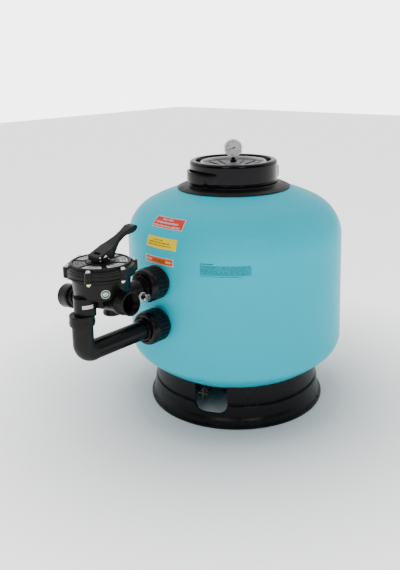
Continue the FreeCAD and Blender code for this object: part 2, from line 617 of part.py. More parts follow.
def valve_cover():
    here = (VALVE, "0", "0")
    dome = turned("Dome", [
        ("shaft_radius + 0.06", "joint_level + 14"), ("bowl_radius - 8", "joint_level + 14"),
        ("bowl_radius - 8", "joint_level + 0.8"), ("flange_radius - 1", "joint_level + 0.8", "1"),
        ("flange_radius - 1", "cover_top - 2", "2"), ("rim_radius", "cover_top", "2"),
        ("rim_radius", "rim_top", "2"), ("rim_radius - 6", "rim_top", "1.5"), ("rim_radius - 7", "cover_top + 3"),
        ("34", "cover_top + 3"), ("33", "rim_top + 0.5", "1"), ("shaft_radius + 0.06", "rim_top + 0.5")], here)
    ears = [cylinder("lug_round", "cover_top - joint_level - 0.8", spot)
            for spot in bolt_spots("joint_level + 0.8")]
    inside = cylinder("bowl_radius - 8", "13.2", (VALVE, "0", "joint_level + 0.8"))
    holes = [cylinder("bolt_radius + 0.3", "40", spot) for spot in bolt_spots("joint_level - 5")]
    keep(cut(fuse([dome] + ears), holes + [inside]), "valve_cover")
    keep(place(tube("flange_radius - 12", "bowl_radius - 7.5", "0.7"), (VALVE, "0", "joint_level + 0.05")),
         "cover_gasket")
    keep(place(tube("rim_radius - 7.4", "34.5", "1.2"), (VALVE, "0", "cover_top + 3.05")), "position_ring")


def fasteners():
    """Six bolts through the cover's ears, and their nuts underneath."""
    hexagon = [(f"5.6 * {math.cos(math.radians(60 * i)):.6f}", f"5.6 * {math.sin(math.radians(60 * i)):.6f}")
               for i in range(6)]
    bolts = []
    hexes = []
    for i, (x, y, z) in enumerate(bolt_spots("0")):
        head = padded(f"Head{i}", hexagon, "head_high", "XY_Plane", (x, y, "cover_top + 0.05"), middle=False)
        shank = cylinder("bolt_radius", "cover_top - flange_low + 6", (x, y, "flange_low - 5.5"))
        bolts.append(fuse([head, shank]))
        blank = padded(f"Nut{i}", hexagon, "head_high", "XY_Plane", (x, y, "flange_low - 2.6"), middle=False)
        hexes.append(cut(blank, [cylinder("bolt_radius + 0.02", "10", (x, y, "flange_low - 5"))]))
    keep(group(bolts), "cover_bolts")
    keep(group(hexes), "cover_nuts")


def selector():
    """Thrust washer, rotor, shaft and lever of the valve."""
    here = (VALVE, "0", "0")
    keep(turned("thrust_washer", [
        ("shaft_radius + 0.06", "rim_top + 0.8"), ("22", "rim_top + 0.8"), ("22", "rim_top + 2.2", "0.5"),
        ("shaft_radius + 0.06", "rim_top + 2.2")], here), "thrust_washer")
    disc = turned("RotorDisc", [
        ("0", "bowl_low + 12.6"), ("60", "bowl_low + 12.6"), ("60", "bowl_low + 22", "2"),
        ("24", "bowl_low + 26", "3"), ("11.2", "bowl_low + 26"), ("11.2", "bowl_low + 30"), ("0", "bowl_low + 30")],
        here)
    window = padded("RotorWindow", [("22", "-14", "4"), ("50", "-22", "4"), ("50", "22", "4"), ("22", "14", "4")],
                    "40", "XY_Plane", (VALVE, "0", "bowl_low + 20"))
    keep(cut(disc, [window]), "valve_rotor")
    gasket = [tube("61.5", "57", "2.2", (VALVE, "0", "bowl_low + 10.1"))]
    for i in range(3):
        heading = Rotation(Z_AXIS, 60 * i)
        start = heading.multVec(Vector(-58.5, -2, 0))
        gasket.append(box("117", "4", "2.2", (f"-valve_away + {start.x:.6f}", f"{start.y:.6f}",
                                               "bowl_low + 10.1"), heading))
    ways = cylinder("24", "4", (VALVE, "0", "bowl_low + 9"))
    rim = tube("26", "22", "2.2", (VALVE, "0", "bowl_low + 10.1"))
    keep(fuse([cut(fuse(gasket), [ways]), rim]), "spider_gasket")
    rod = cylinder("shaft_radius", "pin_high + 4 - bowl_low - 30", (VALVE, "0", "bowl_low + 30"))
    keep(cut(rod, [cylinder("pin_radius + 0.02", "40", (VALVE, "-20", "pin_high"), TO_PLUS_Y)]), "valve_shaft")
    keep(cylinder("pin_radius", "pin_long", (VALVE, "-pin_long / 2", "pin_high"), TO_PLUS_Y), "handle_pin")
    keep(tube("14.5", "11.5", "joint_level + 13.9 - bowl_low - 26.2", (VALVE, "0", "bowl_low + 26.1")),
         "valve_spring")


def handle():
    """Lever: a side outline and a plan outline in common, less the shaft's slot."""
    side = padded("LeverSide", [
        ("-22", "507"), ("-22", "517", "4"), ("-11", "521", "8"), ("29", "537.5"), ("69", "559.5", "40"),
        ("90", "569", "30"), ("103", "571", "4"), ("113", "564.5", "4"), ("102", "557", "12"),
        ("73", "550", "30"), ("49", "535", "12"), ("30", "516", "8"), ("27", "507", "3")],
        "80", "XZ_Plane", (VALVE, "0", "0"))
    half = [("-22", "21", "6"), ("22", "21", "14"), ("54", "9", "30"), ("70", "9", "20"), ("92", "15", "12"),
            ("116", "9", "6")]
    plan = padded("LeverPlan", half + [(x, f"-{y}", r) for x, y, r in reversed(half)], "200", "XY_Plane",
                  (VALVE, "0", "540"))
    slot = box("24", "19", "23.5", ("-valve_away - 12", "-9.5", "500"))
    hole = cylinder("pin_radius + 0.05", "60", (VALVE, "-30", "pin_high"), TO_PLUS_Y)
    keep(cut(common(side, plan), [slot, hole]), "handle")


def valve_trim():
    """Sight glass, round sticker and socket label."""
    keep(turned("sight_glass", [
        ("0", "21.2"), ("10.5", "21.2", "0.8"), ("10.5", "42", "1.5"), ("7.5", "42"), ("7.5", "39"), ("0", "39")],
        ("-glass_away", "0", "glass_high"), TO_MINUS_Y), "sight_glass")
    turn = Rotation(Z_AXIS, 238) * Rotation(Y_AXIS, 90)
    wall = "bowl_radius - bowl_lean + bowl_lean * {} / (flange_low + 2 - bowl_low)"
    low, high = wall.format(4), wall.format(30)
    skin = turned("StickerSkin", [
        (f"{low} + 0.02", "bowl_low + 4"), (f"{low} + 0.3", "bowl_low + 4"),
        (f"{high} + 0.3", "bowl_low + 30"), (f"{high} + 0.02", "bowl_low + 30")], (VALVE, "0", "0"))
    keep(common(skin, cylinder("10.5", "90", (VALVE, "0", "bowl_low + 17"), turn)), "round_sticker")
    where = ("-socket_away", "0", "406.7")
    band = cylinder("socket_radius + 0.4", "8.5", where, Rotation(Z_AXIS, 219), "58")
    keep(cut(band, [cylinder("socket_radius + 0.05", "8.5", where)]), "socket_label")


tank_shell()
base_ring()
neck_flange()
lid()
lock_ring()
gauge()
port("lower", "port_low")
port("upper", "port_high")
lower_pipe()
internals()
drain()
valve_body()
valve_cover()
fasteners()
selector()
handle()
valve_trim()
side_decal("label_low", "450", "470", "180", "19.2")
side_decal("label_info", "433", "468", "215.8", "24.5")
shoulder_decal("label_middle", 8.6, 23.5, 181, 20)
shoulder_decal("label_top", 35.5, 53, 181.5, 22)

doc.recompute()
failed = [item.Label for item in doc.Objects if {"Invalid", "Error"} & set(item.State)]
if failed:
    raise SystemExit("failed objects: " + ", ".join(failed))
for item in nodes:
    if item.Shape.isNull() or not item.Shape.isValid() or item.Shape.Volume <= 0:
        raise SystemExit("bad shape: " + item.Label)

os.makedirs("parts", exist_ok=True)
for item in nodes:
    item.Shape.exportStep(os.path.join("parts", item.Label + ".step"))
print(len(nodes), "sub-parts")
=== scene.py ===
"""Looks of the side-mount sand filter tank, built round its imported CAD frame. Metres, +Z up."""
import json
import math
import random
import bpy
import bmesh
from mathutils import Matrix, Vector


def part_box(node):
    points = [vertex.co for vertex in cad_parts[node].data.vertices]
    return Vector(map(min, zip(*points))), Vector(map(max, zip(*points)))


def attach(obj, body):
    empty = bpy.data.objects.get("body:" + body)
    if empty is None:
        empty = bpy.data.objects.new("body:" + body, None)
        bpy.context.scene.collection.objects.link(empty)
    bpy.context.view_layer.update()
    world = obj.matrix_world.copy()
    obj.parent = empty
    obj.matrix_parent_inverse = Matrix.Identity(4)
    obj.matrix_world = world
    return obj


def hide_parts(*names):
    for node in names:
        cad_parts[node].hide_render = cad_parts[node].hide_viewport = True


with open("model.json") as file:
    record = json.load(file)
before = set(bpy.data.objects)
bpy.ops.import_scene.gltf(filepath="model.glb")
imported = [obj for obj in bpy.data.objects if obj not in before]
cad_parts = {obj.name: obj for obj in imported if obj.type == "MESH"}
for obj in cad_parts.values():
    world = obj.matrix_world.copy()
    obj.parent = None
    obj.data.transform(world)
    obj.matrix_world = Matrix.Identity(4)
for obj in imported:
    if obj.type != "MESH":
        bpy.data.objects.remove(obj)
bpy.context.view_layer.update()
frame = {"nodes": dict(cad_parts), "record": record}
record = frame["record"]
nodes = frame["nodes"]
MM = 0.001
VALVE_X = -486
SOCKET_X = -548
STUB_X = -457
LUG_HEADINGS = (165, 345)
GAUGE_HEADING = 221.5
DRAIN_HEADING = 197
WINDOW_HEADING = 203
ARM_LEAN = 7.5              # degrees, down towards +Y
ARM_LEVEL = 406


# --- camera, floor and light ----------------------------------------------------------

CAMERA_SPOT = (-1.4596, -1.2263, 0.957)
CAMERA_TURN = 47.1          # degrees from looking along +Y, to the right
CAMERA_TILT = 11.51         # degrees down
CAMERA_ROLL = -1.27
FOCAL = 43.5                # mm on a 36 mm sensor along the frame's long side
SHIFT_Y = -0.149
WHITE = 1.3                 # radiance of the white surroundings
PAPER = 5.0                 # radiance of the backdrop itself
SIDE = math.radians(-CAMERA_TURN)
RIGHT = Vector((math.cos(SIDE), math.sin(SIDE), 0))
TOWARD = Vector((math.sin(SIDE), -math.cos(SIDE), 0))


def make_camera():
    data = bpy.data.cameras.new("camera")
    data.sensor_fit = "AUTO"
    data.sensor_width = 36
    data.lens = FOCAL
    data.shift_y = SHIFT_Y
    camera = bpy.data.objects.new("camera", data)
    turn = Matrix.Rotation(math.radians(-CAMERA_TURN), 4, "Z")
    tilt = Matrix.Rotation(math.radians(90 - CAMERA_TILT), 4, "X")
    roll = Matrix.Rotation(math.radians(CAMERA_ROLL), 4, "Z")
    camera.matrix_world = Matrix.Translation(CAMERA_SPOT) @ turn @ tilt @ roll
    bpy.context.scene.collection.objects.link(camera)
    bpy.context.scene.camera = camera


def area_light(name, side, ahead, height, size, power, aim=0.4):
    """Softbox placed relative to the camera's view: metres to its right, towards it, and up."""
    spot = RIGHT * side + TOWARD * ahead + Vector((0, 0, height))
    data = bpy.data.lights.new(name, "AREA")
    data.shape = "RECTANGLE"
    data.size, data.size_y = size
    data.energy = power
    light = bpy.data.objects.new(name, data)
    light.location = spot
    light.rotation_euler = (Vector((0, 0, aim)) - spot).to_track_quat("-Z", "Y").to_euler()
    bpy.context.scene.collection.objects.link(light)


def make_world():
    """White surroundings, dim on the viewer's side so that black gloss stays black, with a paler backdrop."""
    world = bpy.data.worlds.new("studio")
    world.use_nodes = True
    tree = world.node_tree
    shader = tree.nodes["Background"]
    shader.inputs["Color"].default_value = (1, 1, 1, 1)
    coordinate = tree.nodes.new("ShaderNodeTexCoord")
    facing = tree.nodes.new("ShaderNodeVectorMath")
    facing.operation = "DOT_PRODUCT"
    facing.inputs[1].default_value = TOWARD
    tree.links.new(coordinate.outputs["Generated"], facing.inputs[0])
    fade = tree.nodes.new("ShaderNodeMapRange")
    fade.interpolation_type = "SMOOTHSTEP"
    fade.inputs["From Min"].default_value = -0.25
    fade.inputs["From Max"].default_value = 0.45
    fade.inputs["To Min"].default_value = WHITE
    fade.inputs["To Max"].default_value = 0.06
    tree.links.new(facing.outputs["Value"], fade.inputs["Value"])
    path = tree.nodes.new("ShaderNodeLightPath")
    choose = tree.nodes.new("ShaderNodeMix")
    choose.data_type = "FLOAT"
    choose.inputs[3].default_value = PAPER
    tree.links.new(path.outputs["Is Camera Ray"], choose.inputs[0])
    tree.links.new(fade.outputs["Result"], choose.inputs[2])
    tree.links.new(choose.outputs[0], shader.inputs["Strength"])
    bpy.context.scene.world = world


def make_light():
    make_world()
    area_light("key_left", -1.0, 2.4, 2.0, (0.9, 1.2), 20)
    area_light("key_right", 0.9, 2.5, 2.1, (0.7, 1.0), 16)
    area_light("top", 0.0, -0.2, 2.6, (2.4, 2.4), 18)


def make_floor():
    bm = bmesh.new()
    bmesh.ops.create_grid(bm, x_segments=24, y_segments=24, size=9)
    mesh = bpy.data.meshes.new("floor")
    bm.to_mesh(mesh)
    bm.free()
    floor = bpy.data.objects.new("floor", mesh)
    bpy.context.scene.collection.objects.link(floor)
    paper = plastic("floor_paper", (0.86, 0.86, 0.86), 0.7, grain=40, bump=0.0, mottle=0.004)
    shader = paper.node_tree.nodes["Principled BSDF"]
    shader.inputs["Emission Color"].default_value = (1, 1, 1, 1)
    tree = paper.node_tree
    coordinate = tree.nodes.new("ShaderNodeTexCoord")
    reach = tree.nodes.new("ShaderNodeVectorMath")
    reach.operation = "LENGTH"
    tree.links.new(coordinate.outputs["Object"], reach.inputs[0])
    # Painted light and shade: the floor glows, its emission rising from none 0.3 m from the middle to 1.5 at
    # 0.9 m, so the floor round the tank stays darker as a painted shadow.
    painted_floor_glow = spread(tree, reach.outputs["Value"], 0.0, 1.5, 0.3, 0.9)
    tree.links.new(painted_floor_glow, shader.inputs["Emission Strength"])
    mesh.materials.append(paper)


# --- materials ------------------------------------------------------------------------

def node_setup(name):
    material = bpy.data.materials.new(name)
    material.use_nodes = True
    return material, material.node_tree, material.node_tree.nodes["Principled BSDF"]


def noise(tree, scale, detail=3.0, stretch=(1, 1, 1)):
    """Noise over the object's own coordinates, in metres."""
    coordinate = tree.nodes.new("ShaderNodeTexCoord")
    mapping = tree.nodes.new("ShaderNodeMapping")
    mapping.inputs["Scale"].default_value = stretch
    texture = tree.nodes.new("ShaderNodeTexNoise")
    texture.inputs["Scale"].default_value = scale
    texture.inputs["Detail"].default_value = detail
    tree.links.new(coordinate.outputs["Object"], mapping.inputs["Vector"])
    tree.links.new(mapping.outputs["Vector"], texture.inputs["Vector"])
    return texture.outputs["Fac"]


def spread(tree, source, low, high, from_low=0.3, from_high=0.7):
    remap = tree.nodes.new("ShaderNodeMapRange")
    remap.inputs["From Min"].default_value = from_low
    remap.inputs["From Max"].default_value = from_high
    remap.inputs["To Min"].default_value = low
    remap.inputs["To Max"].default_value = high
    tree.links.new(source, remap.inputs["Value"])
    return remap.outputs["Result"]


def blend_colours(tree, factor, first, second):
    mix = tree.nodes.new("ShaderNodeMix")
    mix.data_type = "RGBA"
    mix.inputs[6].default_value = (*first, 1)
    mix.inputs[7].default_value = (*second, 1)
    tree.links.new(factor, mix.inputs["Factor"])
    return mix.outputs[2]


def add_bump(tree, shader, height, strength, distance):
    bump = tree.nodes.new("ShaderNodeBump")
    bump.inputs["Strength"].default_value = strength
    bump.inputs["Distance"].default_value = distance
    tree.links.new(height, bump.inputs["Height"])
    tree.links.new(bump.outputs["Normal"], shader.inputs["Normal"])


def plastic(name, colour, rough, grain=900, bump=0.15, mottle=0.12, coat=0.0, metal=0.0, clean=6.0,
            shine=0.13):
    """Moulded plastic or metal: a fine grain in relief, with slow changes of tone and gloss."""
    material, tree, shader = node_setup(name)
    shade = tuple(c * (1 - mottle) for c in colour)
    light = tuple(min(1, c * (1 + mottle)) for c in colour)
    slow = noise(tree, clean)
    tree.links.new(blend_colours(tree, spread(tree, slow, 0, 1), shade, light), shader.inputs["Base Color"])
    gloss = spread(tree, noise(tree, clean * 7, 5), rough * 0.85, rough * 1.2)
    tree.links.new(gloss, shader.inputs["Roughness"])
    shader.inputs["Metallic"].default_value = metal
    shader.inputs["Specular IOR Level"].default_value = 0.5 if metal else shine
    shader.inputs["Coat Weight"].default_value = coat
    shader.inputs["Coat Roughness"].default_value = 0.04
    if bump:
        add_bump(tree, shader, noise(tree, grain, 2), bump, 0.0004)
    return material


def clear(name, colour, rough, ior=1.49, through=1.0):
    material, tree, shader = node_setup(name)
    tint = blend_colours(tree, spread(tree, noise(tree, 20), 0, 1), colour, tuple(c * 0.97 for c in colour))
    tree.links.new(tint, shader.inputs["Base Color"])
    tree.links.new(spread(tree, noise(tree, 60), rough * 0.7, rough * 1.3), shader.inputs["Roughness"])
    shader.inputs["Transmission Weight"].default_value = through
    shader.inputs["IOR"].default_value = ior
    return material


MATERIALS = {
    "tank_gloss": plastic("tank_gloss", (0.0, 0.50, 0.64), 0.3, 220, 0.02, 0.03, clean=3, shine=0.05),
    "base_plastic": plastic("base_plastic", (0.006, 0.0058, 0.0062), 0.3, 700, 0.08),
    "neck_plastic": plastic("neck_plastic", (0.004, 0.0038, 0.004), 0.38, 700, 0.1),
    "gloss_black": plastic("gloss_black", (0.003, 0.003, 0.0045), 0.14, 400, 0.02, coat=0.05),
    "black_plastic": plastic("black_plastic", (0.004, 0.004, 0.0045), 0.35),
    "valve_plastic": plastic("valve_plastic", (0.005, 0.0048, 0.0048), 0.3),
    "pipe_plastic": plastic("pipe_plastic", (0.0045, 0.0044, 0.0045), 0.24, 500, 0.05),
    "elbow_plastic": plastic("elbow_plastic", (0.010, 0.009, 0.0085), 0.42),
    "nut_plastic": plastic("nut_plastic", (0.006, 0.006, 0.0075), 0.22, 500, 0.08),
    "handle_plastic": plastic("handle_plastic", (0.007, 0.0068, 0.0073), 0.33),
    "drain_plastic": plastic("drain_plastic", (0.03, 0.03, 0.03), 0.28),
    "inner_plastic": plastic("inner_plastic", (0.5, 0.5, 0.47), 0.45),
    "grey_boss": plastic("grey_boss", (0.22, 0.22, 0.24), 0.16),
    "rubber": plastic("rubber", (0.008, 0.008, 0.008), 0.6),
    "steel": plastic("steel", (0.62, 0.62, 0.6), 0.26, 300, 0.05, metal=1.0),
    "chrome": plastic("chrome", (0.7, 0.7, 0.72), 0.1, 300, 0.01, 0.02, metal=1.0),
    "brass": plastic("brass", (0.78, 0.66, 0.45), 0.28, 300, 0.05, metal=1.0),
    "dial_white": plastic("dial_white", (0.85, 0.85, 0.85), 0.4, bump=0.02, mottle=0.01),
    "needle_black": plastic("needle_black", (0.02, 0.02, 0.02), 0.4),
    "ring_label": plastic("ring_label", (0.5, 0.5, 0.5), 0.25, mottle=0.03),
    "ring_grey": plastic("ring_grey", (0.10, 0.10, 0.11), 0.3, mottle=0.04),
    "sticker_green": plastic("sticker_green", (0.008, 0.13, 0.045), 0.4, bump=0.02),
    "label_white": plastic("label_white", (0.6, 0.6, 0.58), 0.4, bump=0.02, mottle=0.02),
    "label_orange": plastic("label_orange", (0.72, 0.10, 0.006), 0.4, bump=0.02, mottle=0.03),
    "label_yellow": plastic("label_yellow", (0.92, 0.66, 0.004), 0.4, bump=0.02, mottle=0.03),
    "label_red": plastic("label_red", (0.72, 0.035, 0.025), 0.4, bump=0.02, mottle=0.03),
    "print_dark": plastic("print_dark", (0.002, 0.10, 0.125), 0.4, bump=0.02, mottle=0.03),
    "print_olive": plastic("print_olive", (0.16, 0.11, 0.005), 0.4, bump=0.02, mottle=0.03),
    "clear_lid": clear("clear_lid", (0.08, 0.082, 0.078), 0.2, through=0.4),
    # Pale, less clear plastic for the lid's crest ring: a painted highlight along the rim.
    "crest_painted_highlight": clear("crest_painted_highlight", (0.8, 0.8, 0.76), 0.2, through=0.25),
    "clear_cup": clear("clear_cup", (0.85, 0.87, 0.88), 0.08),
    "gauge_glass": clear("gauge_glass", (0.98, 0.99, 0.99), 0.01, through=1.0),
}


def paint_nodes():
    for part in record["subparts"]:
        data = nodes[part["node"]].data
        data.materials.clear()
        data.materials.append(MATERIALS[part["material_slot"]])


# --- mesh tools (millimetres) -----------------------------------------------------------

def low(node):
    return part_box(node)[0] / MM


def high(node):
    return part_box(node)[1] / MM


def mid(node):
    return (low(node) + high(node)) / 2


def link(name, bm, turn=Matrix()):
    """New object from a mesh in millimetres, placed by a matrix in millimetres."""
    bmesh.ops.remove_doubles(bm, verts=bm.verts, dist=1e-4)
    bmesh.ops.recalc_face_normals(bm, faces=bm.faces)
    bmesh.ops.transform(bm, matrix=Matrix.Scale(MM, 4) @ turn, verts=bm.verts)
    mesh = bpy.data.meshes.new(name)
    bm.to_mesh(mesh)
    bm.free()
    item = bpy.data.objects.new(name, mesh)
    bpy.context.scene.collection.objects.link(item)
    return item


def soften(item, limit=32):
    """Smooth shading, with the edges over the limit kept sharp."""
    bm = bmesh.new()
    bm.from_mesh(item.data)
    for face in bm.faces:
        face.smooth = True
    for edge in bm.edges:
        edge.smooth = len(edge.link_faces) != 2 or edge.calc_face_angle(0) < math.radians(limit)
    bm.to_mesh(item.data)
    bm.free()


def piece(name, bm, body, slot, turn=Matrix(), covers=(), paint=None, limit=32):
    item = link(name, bm, turn)
    soften(item, limit)
    item.data.materials.append(MATERIALS[paint or slot])
    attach(item, body)
    if covers:
        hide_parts(*covers)
    return item


def rounded(corners, steps=5):
    """Corners (x, y, fillet) as a closed line with the fillets turned into short arcs."""
    points = []
    for i, corner in enumerate(corners):
        here = Vector(corner[:2])
        radius = corner[2] if len(corner) > 2 else 0
        if not radius:
            points.append(here)
            continue
        back = (Vector(corners[i - 1][:2]) - here).normalized()
        ahead = (Vector(corners[(i + 1) % len(corners)][:2]) - here).normalized()
        half = back.angle(ahead) / 2
        centre = here + (back + ahead).normalized() * radius / math.sin(half)
        first = here + back * radius / math.tan(half) - centre
        last = here + ahead * radius / math.tan(half) - centre
        sweep = first.angle(last)
        for k in range(steps + 1):
            part = k / steps
            arm = first * math.sin((1 - part) * sweep) + last * math.sin(part * sweep)
            points.append(centre + arm / math.sin(sweep))
    return points


def lathe(points, segments=128, shape=None, bm=None):
    """Closed line of (radius, height) turned about Z. shape(radius, height, angle) may move the radius."""
    bm = bm or bmesh.new()
    rings = []
    for radius, height in points:
        ring = []
        for k in range(segments):
            angle = 2 * math.pi * k / segments
            reach = shape(radius, height, angle) if shape else radius
            ring.append(bm.verts.new((reach * math.cos(angle), reach * math.sin(angle), height)))
        rings.append(ring)
    for i, ring in enumerate(rings):
        after = rings[(i + 1) % len(rings)]
        if points[i][0] < 1e-6 and points[(i + 1) % len(points)][0] < 1e-6:
            continue
        for k in range(segments):
            n = (k + 1) % segments
            bm.faces.new((ring[k], ring[n], after[n], after[k]))
    bmesh.ops.dissolve_degenerate(bm, dist=1e-5, edges=bm.edges)
    return bm


def join(bm, extra, turn=Matrix()):
    """Move a mesh by a matrix and add it to another."""
    bmesh.ops.transform(extra, matrix=turn, verts=extra.verts)
    mesh = bpy.data.meshes.new("part")
    extra.to_mesh(mesh)
    extra.free()
    bm.from_mesh(mesh)
    bpy.data.meshes.remove(mesh)


def prism(outline, thick, turn=Matrix(), bevel=0.0, bm=None):
    """Outline in XY, pushed up Z by thick, with its edges bevelled."""
    fresh = bmesh.new()
    face = fresh.faces.new([fresh.verts.new((x, y, 0)) for x, y in outline])
    top = bmesh.ops.extrude_face_region(fresh, geom=[face])["geom"]
    bmesh.ops.translate(fresh, vec=(0, 0, thick), verts=[v for v in top if isinstance(v, bmesh.types.BMVert)])
    bmesh.ops.recalc_face_normals(fresh, faces=fresh.faces)
    if bevel:
        bmesh.ops.bevel(fresh, geom=fresh.edges, offset=bevel, segments=2, profile=0.7, affect="EDGES",
                        clamp_overlap=True)
    if bm is None:
        bmesh.ops.transform(fresh, matrix=turn, verts=fresh.verts)
        return fresh
    join(bm, fresh, turn)
    return bm


def sweep(path, radius, segments=48, inner=None, bm=None):
    """Round pipe along points in the XZ plane, with its wall and its open ends."""
    bm = bm or bmesh.new()
    outer_rings, inner_rings = [], []
    for i, point in enumerate(path):
        ahead = path[min(i + 1, len(path) - 1)] - path[max(i - 1, 0)]
        across = Vector((ahead.z, 0, -ahead.x)).normalized()
        for rings, reach in ((outer_rings, radius), (inner_rings, inner)):
            if reach is None:
                continue
            ring = []
            for k in range(segments):
                angle = 2 * math.pi * k / segments
                ring.append(bm.verts.new(point + across * reach * math.cos(angle)
                                         + Vector((0, reach * math.sin(angle), 0))))
            rings.append(ring)
    strips = [(outer_rings[i], outer_rings[i + 1]) for i in range(len(path) - 1)]
    if inner_rings:
        strips += [(inner_rings[i], inner_rings[i + 1]) for i in range(len(path) - 1)]
        strips += [(outer_rings[0], inner_rings[0]), (outer_rings[-1], inner_rings[-1])]
    for first, second in strips:
        for k in range(segments):
            n = (k + 1) % segments
            bm.faces.new((first[k], first[n], second[n], second[k]))
    if not inner_rings:
        bm.faces.new(outer_rings[0])
        bm.faces.new(outer_rings[-1])
    return bm


def polygon(radius, count):
    """Corners of a regular polygon, or of a circle when there are many."""
    angles = [math.radians(360 / count * k) for k in range(count)]
    return [(radius * math.cos(angle), radius * math.sin(angle)) for angle in angles]


def spin(angle):
    return Matrix.Rotation(math.radians(angle), 4, "Z")


def shift(x, y, z):
    return Matrix.Translation((x, y, z))


TO_MINUS_X = Matrix.Rotation(math.radians(-90), 4, "Y")
TO_MINUS_Y = Matrix.Rotation(math.radians(90), 4, "X")
TO_PLUS_Y = Matrix.Rotation(math.radians(-90), 4, "X")


def outward(angle):
    """Turns Z to point away from the tank's axis at an angle."""
    return spin(angle) @ Matrix.Rotation(math.radians(90), 4, "Y")


# --- tank ---------------------------------------------------------------------------------

TANK_RADIUS = high("tank_shell").x
SIDE_LOW, SIDE_HIGH = 194, 475
TOP_KNUCKLE, TOP_CROWN, LOW_KNUCKLE, LOW_CROWN, NECK_HOLE = 111, 540, 60, 425, 138
WALL = 7


def shell_line(inset, count=28):
    """(radius, height) up the tank's skin, from the bottom's middle to the neck hole."""
    radius = TANK_RADIUS - inset
    points = []
    for level, sign, knuckle, crown in ((SIDE_LOW, -1, LOW_KNUCKLE - inset, LOW_CROWN - inset),
                                        (SIDE_HIGH, 1, TOP_KNUCKLE - inset, TOP_CROWN - inset)):
        across = radius - knuckle
        drop = math.sqrt((crown - knuckle) ** 2 - across ** 2)
        lean = math.atan2(drop, across)
        stop = math.pi / 2 if sign < 0 else math.acos(NECK_HOLE / crown)
        dome = [(crown * math.cos(t), level - sign * drop + sign * crown * math.sin(t))
                for t in [stop + (lean - stop) * k / count for k in range(count)]]
        bend = [(across + knuckle * math.cos(t), level + sign * knuckle * math.sin(t))
                for t in [lean * (1 - k / count) for k in range(count + 1)]]
        line = dome + bend
        points += line if sign < 0 else line[::-1]
    points[0] = (0, points[0][1])
    return points


def make_tank():
    outer, inner = shell_line(0), shell_line(WALL)
    piece("tank_skin", lathe(outer + inner[::-1], 224), "tank", "tank_gloss", covers=["tank_shell"])


def on_tank(angle, rise, lift):
    """Point on the tank at an angle, rise millimetres of skin above the side's top, lifted off it."""
    slope = max(0.0, rise / TOP_KNUCKLE)
    reach = TANK_RADIUS - TOP_KNUCKLE + (TOP_KNUCKLE + lift) * math.cos(slope)
    height = SIDE_HIGH + min(0.0, rise) + (TOP_KNUCKLE + lift) * math.sin(slope)
    turn = math.radians(angle)
    return (reach * math.cos(turn), reach * math.sin(turn), height)


def patch(bm, angles, rises, lift, steps=(1, 1)):
    """Skin-hugging quad between two angles and two rises."""
    grid = [[bm.verts.new(on_tank(angles[0] + (angles[1] - angles[0]) * i / steps[0],
                                  rises[0] + (rises[1] - rises[0]) * j / steps[1], lift))
             for j in range(steps[1] + 1)] for i in range(steps[0] + 1)]
    for i in range(steps[0]):
        for j in range(steps[1]):
            bm.faces.new((grid[i][j], grid[i + 1][j], grid[i + 1][j + 1], grid[i][j + 1]))


def lettering(bm, angles, rise, tall, lift, seed, glyph=0.42, fill=1.0):
    """A line of small blocks in word-like groups. They spell nothing."""
    dice = random.Random(seed)
    here = angles[0]
    stop = angles[0] + (angles[1] - angles[0]) * fill
    while here < stop:
        for _ in range(dice.randint(2, 8)):
            wide = glyph * dice.uniform(0.6, 1.0)
            if here + wide > stop:
                break
            trim = tall * dice.choice((0.0, 0.0, 0.22))
            patch(bm, (here, here + wide), (rise, rise + tall - trim), lift)
            here += wide + glyph * 0.28
        here += glyph * 0.8


def decal(name, slot, node, angles, rises, lines, ink, inset=(0.45, 2.0), edge="label_white"):
    """A bordered label with lines of print. A line is (rise, height, angle from, angle to)."""
    border = bmesh.new()
    patch(border, angles, rises, 0.25, (40, 8))
    piece(name + "_border", border, "tank", slot, covers=[node], paint=edge)
    field = bmesh.new()
    patch(field, (angles[0] + inset[0], angles[1] - inset[0]), (rises[0] + inset[1], rises[1] - inset[1]),
          0.40, (40, 8))
    piece(name + "_field", field, "tank", slot)
    text = bmesh.new()
    for seed, (rise, tall, start, end) in enumerate(lines):
        lettering(text, (start, end), rise, tall, 0.55, name + str(seed))
    piece(name + "_print", text, "tank", slot, paint=ink)


def make_labels():
    knuckle = math.radians(TOP_KNUCKLE)
    top = (knuckle * 35.5, knuckle * 53)
    decal("label_top", "label_red", "label_top", (170.5, 192.5), top,
          [(top[0] + 23.5, 4.6, 176.5, 184.5), (top[0] + 13.5, 5.2, 172.6, 189.0),
           (top[0] + 4.2, 4.6, 171.7, 190.6)],
          "label_white", inset=(0.5, 2.0))
    middle = (knuckle * 8.6, knuckle * 23.5)
    decal("label_middle", "label_yellow", "label_middle", (171, 191), middle,
          [(middle[0] + 19.5, 2.8, 175.8, 182.4), (middle[0] + 13.2, 2.8, 172.8, 186.6),
           (middle[0] + 6.6, 2.8, 172.4, 187.6)], "print_olive", inset=(0.7, 2.6), edge="label_yellow")
    decal("label_low", "label_orange", "label_low", (170.4, 189.6), (-25, -5),
          [(-17.8, 5.4, 171.9, 175.2), (-17.8, 5.4, 184.8, 188.2)], "label_white", inset=(0.6, 2.2))
    words = bmesh.new()
    lettering(words, (175.9, 184.2), -17.8, 5.4, 0.56, "middle", glyph=0.6)
    piece("label_low_words", words, "tank", "label_orange", paint="print_olive")
    info = bmesh.new()
    start, end = 203.6, 228.0
    lettering(info, (start, start + 6.4), -8.6, 2.6, 0.2, "title", glyph=0.36)
    for row in range(9):
        lettering(info, (start, end), -13.2 - row * 2.75, 1.9, 0.2, "row%d" % row, glyph=0.26)
    lettering(info, (start, end - 4.6), -39.4, 1.9, 0.2, "last", glyph=0.26)
    piece("info_print", info, "tank", "print_dark", covers=["label_info"])


# --- base ring -------------------------------------------------------------------------------

